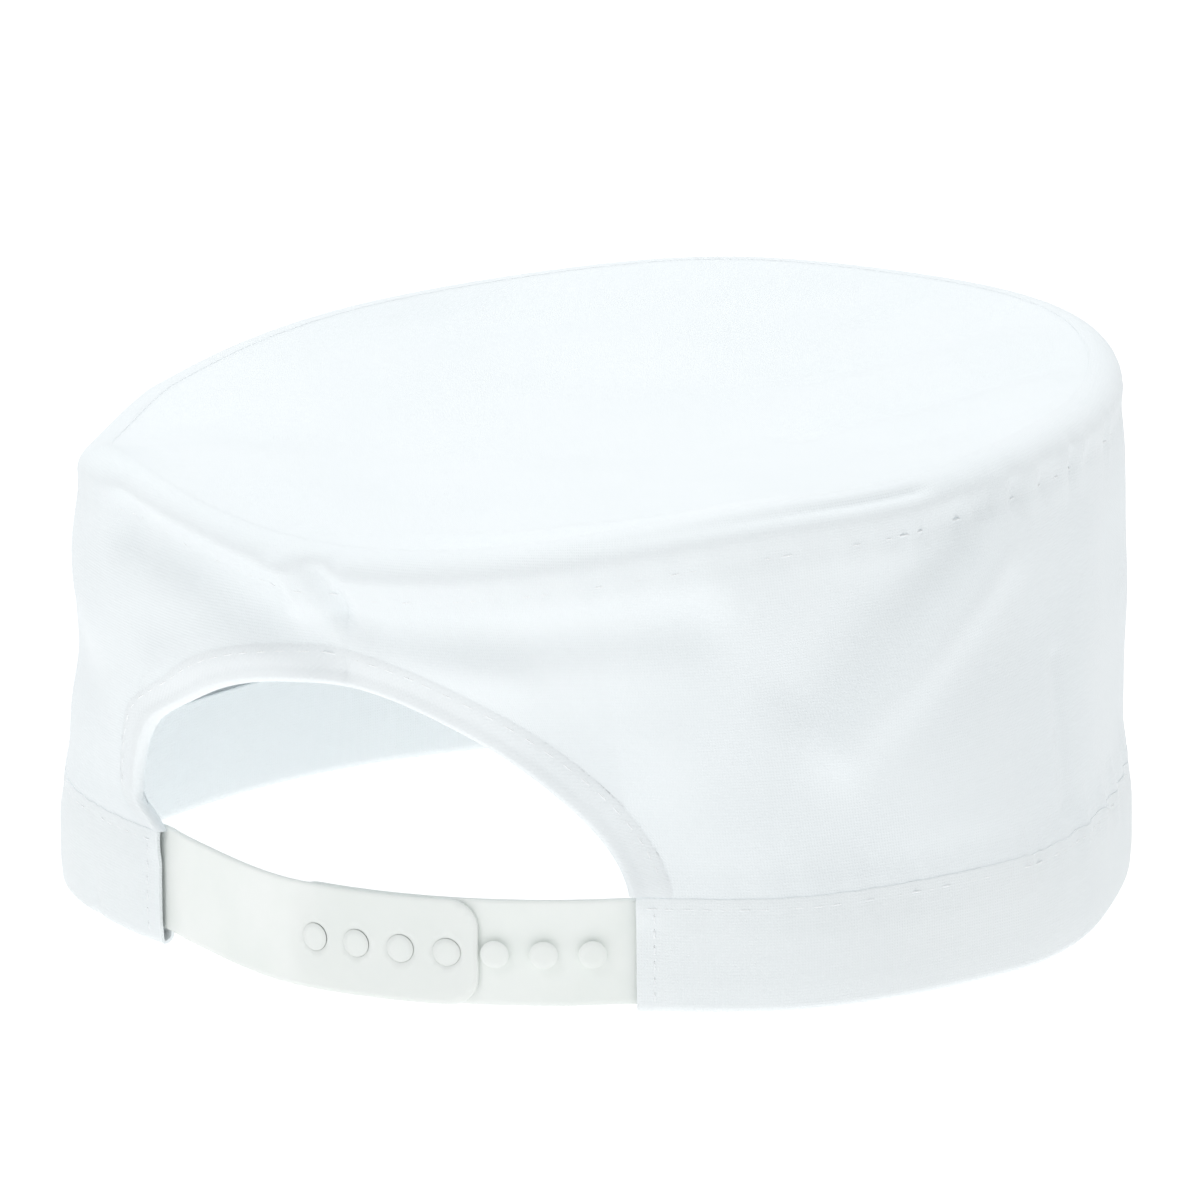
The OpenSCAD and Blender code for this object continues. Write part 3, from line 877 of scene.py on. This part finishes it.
def left_lift(x):
    """How much higher the strap lies as it nears the left root, as its plastic is twisted a little."""
    return 1.5 * smooth((-x - 10) / 26) * smooth((52 - np.abs(x)) / 6)


def bend_onto(line, along, height, stand):
    """Places flat strap points on the bent middle line. stand is towards the outside."""
    run = np.concatenate([[0], np.cumsum(np.linalg.norm(np.diff(line, axis=0), axis=1))])
    ahead = np.gradient(line, run, axis=0)
    outward = np.stack([ahead[:, 1], -ahead[:, 0]], -1)
    outward *= np.sign((outward * (line - STRAP_CENTRE)).sum(-1, keepdims=True))
    place = np.stack([np.interp(along, run, line[:, k]) for k in (0, 1)], -1)
    facing = np.stack([np.interp(along, run, outward[:, k]) for k in (0, 1)], -1)
    plan = place + facing * np.asarray(stand)[..., None]
    z = STRAP_BOTTOM + height + left_lift(plan[..., 0])
    return np.concatenate([plan + [0, WIDEST_Y], z[..., None]], -1)


EDGE_SHARE_OF_T = 0.35               # thickness left at the strap's rounded edges
PEG_SIDES = 28
# Snap peg from its foot to the middle of its head: radius, and stand above the strap's face
PEG_PROFILE = [(1.8, -1.0), (1.8, 0.8), (2.1, 1.06), (2.3, 1.11), (2.34, 1.16), (2.2, 1.24),
               (1.4, 1.3), (0.55, 1.32)]


def quarter_turn(centre, radius, start):
    turn = np.radians(np.linspace(start, start + 90, 10))
    return centre + radius * np.stack([np.cos(turn), np.sin(turn)], -1)


def strap_outline(length, inset):
    """Outline of a flat strap with a square inner end and a round-cornered tip."""
    low, high, radius = inset, STRAP_H - inset, TIP_R - inset
    corner = length - radius - inset
    out = np.arange(low, corner, 0.8)
    back = np.arange(corner, low, -0.8)[1:]
    end = np.arange(high, low, -0.9)[1:]
    return np.concatenate([
        np.stack([out, np.full(len(out), low)], -1),
        quarter_turn([corner, low + radius], radius, -90),
        quarter_turn([corner, high - radius], radius, 0),
        np.stack([back, np.full(len(back), high)], -1),
        [[low, high]],
        np.stack([np.full(len(end), low), end], -1),
    ])


def strap_filling(length, holes, insets):
    """Grid of points inside a flat strap, clear of its rounded edges."""
    gx, gz = np.meshgrid(np.arange(0.9, length - 0.6, 1.1), np.arange(0.9, STRAP_H - 0.5, 1.1),
                         indexing="ij")
    grid = np.stack([gx.ravel(), gz.ravel()], -1)
    clear = np.ones(len(grid), bool)
    for ring in insets:
        clear &= np.min(np.linalg.norm(grid[:, None] - ring[None], axis=-1), 1) > 0.45
    for x in holes:
        clear &= np.linalg.norm(grid - [x, STRAP_H / 2], axis=1) > HOLE_R + EDGE_ROUND
    return grid[clear]


def is_plastic(middle, length, holes):
    """Whether a place on the flat strap is clear of its holes and within its tip."""
    corner = (length - TIP_R, min(max(middle[1], TIP_R), STRAP_H - TIP_R))
    off_tip = middle[0] > corner[0] and math.dist(middle, corner) > TIP_R - 0.005
    return not off_tip and all(math.dist(middle, (x, STRAP_H / 2)) >= HOLE_R for x in holes)


def flat_strap(length, holes):
    """Triangles of a flat strap with holes: points, each point's share of the thickness, faces."""
    turn = np.linspace(0, 2 * np.pi, 33)[:-1]
    circle = np.stack([np.cos(turn), np.sin(turn)], -1)
    middles = [np.array([x, STRAP_H / 2]) for x in holes]
    loops = [strap_outline(length, 0)] + [m + HOLE_R * circle for m in middles]
    insets = [strap_outline(length, EDGE_ROUND)] + [m + (HOLE_R + EDGE_ROUND) * circle for m in middles]
    points, edges = [], []
    for ring in loops + insets:
        first = len(points)
        points += ring.tolist()
        edges += [(first + k, first + (k + 1) % len(ring)) for k in range(len(ring))]
    border = sum(len(ring) for ring in loops)
    points += strap_filling(length, holes, insets).tolist()
    made = delaunay_2d_cdt([Vector(p) for p in points], edges, [], 0, 1e-4)
    flat = np.array([tuple(p) for p in made[0]])
    on_border = [bool(sources) and min(sources) < border for sources in made[3]]
    share = np.where(on_border, EDGE_SHARE_OF_T, 1.0)
    faces = [list(f) for f in made[2] if is_plastic(flat[list(f)].mean(0), length, holes)]
    return flat, share, faces


def peg_post(line, x):
    """Rings of a peg at a distance along its strap, from its foot inside the strap to its head."""
    turn = np.arange(PEG_SIDES) * 2 * np.pi / PEG_SIDES
    across, up = np.cos(turn), np.sin(turn)
    return np.concatenate([
        bend_onto(line, x + radius * across, STRAP_H / 2 + radius * up,
                  np.full(PEG_SIDES, stand + STRAP_T / 2))
        for radius, stand in PEG_PROFILE])


def strap_mesh(name, line, holes=(), pegs=()):
    """Bent strap with rounded edges, its holes cut through, and its pegs standing on it."""
    length = LINE_STEP * (len(line) - 1)
    flat, share, front = flat_strap(length, holes)
    count, half = len(flat), STRAP_T / 2
    vertices = [bend_onto(line, flat[:, 0], flat[:, 1], side * half * share) for side in (1, -1)]
    faces = front + [[count + v for v in reversed(face)] for face in front]
    sides = [side for face in front for side in zip(face, face[1:] + face[:1])]
    shared = set(sides)
    faces += [[b, a, count + a, count + b] for a, b in sides if (b, a) not in shared]
    first = 2 * count
    for x in pegs:
        vertices.append(peg_post(line, x))
        rings = first + np.arange(len(PEG_PROFILE) * PEG_SIDES).reshape(-1, PEG_SIDES)
        for low, high in zip(rings, rings[1:]):
            faces += ring_faces(low, high)
        faces += [rings[0].tolist(), rings[-1].tolist()]
        first += rings.size
    return finish_mesh(name, np.concatenate(vertices), faces)


def along_strap(line, angle):
    """Distance along a strap's line of the place at an angle about the straps' centre."""
    first = round(TAB_LEN / LINE_STEP)
    run = np.arange(len(line))[first:] * LINE_STEP
    off = line[first:] - STRAP_CENTRE
    angles = np.arctan2(off[:, 0], -off[:, 1])
    order = np.argsort(angles)
    return float(np.interp(angle, angles[order], run[order]))


def make_straps():
    tip = peg_angle(HOLE_COUNT - 1) + STRAP_MARGIN / OUTER_R
    outer = strap_line(-1, OUTER_R, tip)
    holes = [along_strap(outer, peg_angle(i)) for i in range(HOLE_COUNT)]
    tip = peg_angle(0) - STRAP_MARGIN / OUTER_R
    inner = strap_line(1, INNER_R, tip)
    pegs = [along_strap(inner, peg_angle(i)) for i in range(PEG_COUNT)]
    return (strap_mesh("hole_strap_snap", outer, holes=holes),
            strap_mesh("peg_strap_snap", inner, pegs=pegs))


# --- Thread ------------------------------------------------------------------------------------

CROWN_STITCHES = 180
BAND_STITCHES = 156
ARCH_STITCHES = 40
STRAP_STITCHES = 6


def make_threads():
    """All rows of stitches, by name."""
    rows = {}
    t, _ = even_angles(-90, 270, CROWN_STITCHES + 1)
    rows["crown_thread"] = cloth_point(t, rim_height(t) - TOPSTITCH_DROP, WALL_IN + 0.1)
    t, _ = even_angles(RIGHT_END + 1, LEFT_END - 1, BAND_STITCHES + 1)
    rows["band_thread"] = band_point(t, np.full(len(t), BAND_STITCH_DROP / BAND_CUT_W), 0)
    t, s = arch(np.linspace(-84, 84, ARCH_STITCHES + 1), TAPE_W - 1.3)
    rows["arch_thread"] = cloth_point(t, s, TAPE_IN + 0.04)
    from_end = 3 / MM_PER_DEGREE
    for name, t in (("hole_strap_thread", LEFT_END - from_end), ("peg_strap_thread", RIGHT_END + from_end)):
        along = np.linspace(0.06, 0.45, STRAP_STITCHES + 1)
        rows[name] = band_point(np.full(len(along), t), along, 0)
    return {name: stitches(name, *row) for name, row in rows.items()}


# --- Assembly ----------------------------------------------------------------------------------

wall = dress(make_side_wall(), COTTON, "cap", "wall_cloth", "side_wall")
crown = dress(make_crown(), COTTON, "cap", "crown_cloth", "crown_top")
band = dress(make_headband(), BAND_COTTON, "cap", "band_cloth", "headband")
tape = dress(make_arch_tape(), TAPE, "cap", "binding_tape", "arch_binding")
turnings = dress(make_seam_turnings(), COTTON, "cap", "wall_cloth", "back_seam_allowance")
label = dress(make_label(), SATIN, "cap", "label_cloth", "care_label")

threads = make_threads()
for name, node in (("crown_thread", "crown_topstitch"), ("band_thread", "band_topstitch"),
                   ("arch_thread", "arch_topstitch"), ("hole_strap_thread", "hole_strap_stitch"),
                   ("peg_strap_thread", "peg_strap_stitch")):
    dress(threads[name], THREAD, "cap", "thread", node)

hole_strap, peg_strap = make_straps()
for piece, body, side in ((hole_strap, "hole_strap", -1), (peg_strap, "peg_strap", 1)):
    dress(piece, PLASTIC, None, "strap_plastic", body, body + "_tab")
    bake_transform(piece)

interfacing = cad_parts["band_interfacing"]
interfacing.data.materials.clear()
interfacing.data.materials.append(CANVAS)


# --- Stage -------------------------------------------------------------------------------------

LIGHT_AIM = Vector((0, 0, 0.04))


def make_floor():
    """Pale floor that glows a little, as a light table does."""
    bpy.ops.mesh.primitive_plane_add(size=12, location=(0, 0, -0.0004))
    floor = bpy.context.object
    floor.name = "floor"
    surface, _, shader = new_material("light_table")
    shader.inputs["Base Color"].default_value = (0.22, 0.22, 0.22, 1)
    shader.inputs["Roughness"].default_value = 0.9
    shader.inputs["Emission Color"].default_value = (1, 1, 1, 1)
    shader.inputs["Emission Strength"].default_value = 1.0
    floor.data.materials.append(surface)


def add_area_light(name, place, size, power):
    """Round soft light that faces the middle of the cap."""
    data = bpy.data.lights.new(name, "AREA")
    data.shape = "DISK"
    data.size = size
    data.energy = power
    light = bpy.data.objects.new(name, data)
    light.location = place
    light.rotation_mode = "QUATERNION"
    light.rotation_quaternion = (LIGHT_AIM - Vector(place)).to_track_quat("-Z", "Y")
    bpy.context.scene.collection.objects.link(light)


def light_scene():
    """Even pale surroundings, a soft key light behind the cap on its left, and one overhead."""
    world = bpy.data.worlds.new("studio")
    bpy.context.scene.world = world
    world.use_nodes = True
    sky = world.node_tree.nodes["Background"]
    sky.inputs["Color"].default_value = (0.97, 0.99, 1.0, 1)
    sky.inputs["Strength"].default_value = 0.55
    add_area_light("key", (-0.35, -1.7, 1.8), 1.0, 7.5)
    add_area_light("overhead", (-0.2, 0.2, 2.2), 1.0, 21)


CAMERA_TURN = math.radians(29.03)    # behind the cap, on the wearer's right
CAMERA_RISE = math.radians(13.88)
CAMERA_ROLL = math.radians(-0.46)
CAMERA_AWAY = 2.233
CAMERA_AIM = Vector((4.7, -19.2, 51.9)) * MM
LENS = 394


def make_camera():
    level = math.cos(CAMERA_RISE)
    back = Vector((math.sin(CAMERA_TURN) * level, -math.cos(CAMERA_TURN) * level,
                   math.sin(CAMERA_RISE)))
    right = Vector((math.cos(CAMERA_TURN), math.sin(CAMERA_TURN), 0))
    up = back.cross(right)
    rolled_right = right * math.cos(CAMERA_ROLL) + up * math.sin(CAMERA_ROLL)
    rolled_up = up * math.cos(CAMERA_ROLL) - right * math.sin(CAMERA_ROLL)
    data = bpy.data.cameras.new("camera")
    data.lens = LENS
    data.sensor_width = 36
    camera = bpy.data.objects.new("camera", data)
    bpy.context.scene.collection.objects.link(camera)
    turn = Matrix((rolled_right, rolled_up, back)).transposed().to_4x4()
    camera.matrix_world = Matrix.Translation(CAMERA_AIM + back * CAMERA_AWAY) @ turn
    bpy.context.scene.camera = camera


make_floor()
light_scene()
make_camera()
bpy.context.scene.view_settings.view_transform = "Standard"

bpy.context.view_layer.update()
